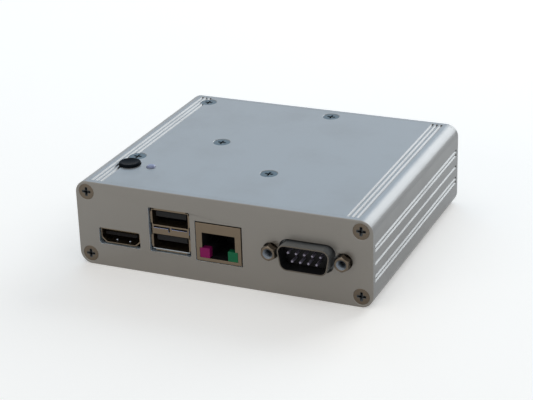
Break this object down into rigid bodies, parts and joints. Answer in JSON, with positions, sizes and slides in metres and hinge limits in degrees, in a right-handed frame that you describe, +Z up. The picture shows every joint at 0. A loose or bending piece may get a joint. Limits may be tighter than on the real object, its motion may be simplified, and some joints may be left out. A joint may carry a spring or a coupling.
{
  "type": "digital signage player",
  "caption": "Small fanless box player: extruded aluminium case with a grooved outline, two screwed end plates, front sockets and a push button on top.",
  "frame": {"origin": "centre of the case's bottom face", "axes": "+X to the right seen from the front, the front plate faces -Y, +Z up out of the top wall"},
  "size_m": [0.105, 0.0938, 0.0309],
  "materials": {
    "profile_metal": "satin anodised, brushed along the case",
    "plate_metal": "satin, fine grained",
    "screw_steel": "nickel plated, satin",
    "connector_steel": "nickel plated, satin",
    "black_plastic": "matt moulded",
    "magenta_light": "clear moulded, smooth",
    "green_light": "clear moulded, smooth",
    "board_green": "lacquered",
    "contact_gold": "plated",
    "pin_metal": "plated, smooth",
    "spacer_brass": "turned",
    "button_black": "glossy, moulded",
    "zinc_steel": "zinc plated, bluish",
    "lens_clear": "clear moulded",
    "lamp_white": "moulded",
    "chip_black": "moulded",
    "pad_grey": "soft",
    "block_metal": "milled",
    "coil_grey": "pressed powder",
    "can_metal": "drawn",
    "lead_grey": "extruded insulation",
    "plug_white": "moulded",
    "dome_steel": "spring temper"
  },
  "bodies": {
    "player": {"case_profile": "profile_metal", "front_plate": "plate_metal", "rear_plate": "plate_metal", "front_plate_screws": "screw_steel", "rear_plate_screws": "screw_steel", "board_top_screws": "zinc_steel", "heat_block_screw": "zinc_steel", "main_board": "board_green", "board_spacers": "spacer_brass", "board_screws": "screw_steel", "video_socket_shell": "connector_steel", "video_socket_insulator": "black_plastic", "video_socket_contacts": "contact_gold", "host_socket_shell": "connector_steel", "host_socket_insulator": "black_plastic", "host_socket_contacts": "contact_gold", "network_socket_shield": "connector_steel", "network_socket_housing": "black_plastic", "network_socket_contacts": "contact_gold", "network_light_left": "magenta_light", "network_light_right": "green_light", "serial_shell": "connector_steel", "serial_rear_shell": "connector_steel", "serial_insulator": "black_plastic", "serial_pins": "pin_metal", "serial_jackscrews": "screw_steel", "serial_nuts": "screw_steel", "serial_boot": "black_plastic", "serial_ribbon": "lead_grey", "serial_header": "plug_white", "serial_plug": "plug_white", "switch_body": "black_plastic", "switch_dome": "dome_steel", "indicator_lens": "lens_clear", "indicator_lamp": "lamp_white", "processor": "chip_black", "thermal_pad": "pad_grey", "heat_block": "block_metal", "memory_chips": "chip_black", "controller_chips": "chip_black", "storage_chip": "chip_black", "supply_coils": "coil_grey", "supply_capacitors": "can_metal", "power_inlet_body": "black_plastic", "power_inlet_pin": "pin_metal"},
    "button": {"power_button": "button_black", "switch_plunger": "black_plastic"}
  },
  "joints": [
    {"name": "power_button_press", "type": "slide", "parent": "player", "child": "button", "axis": [0, 0, -1], "range_m": [0, 0.0005], "stiffness_N_per_m": 4000, "deforming": ["switch_dome"]}
  ]
}
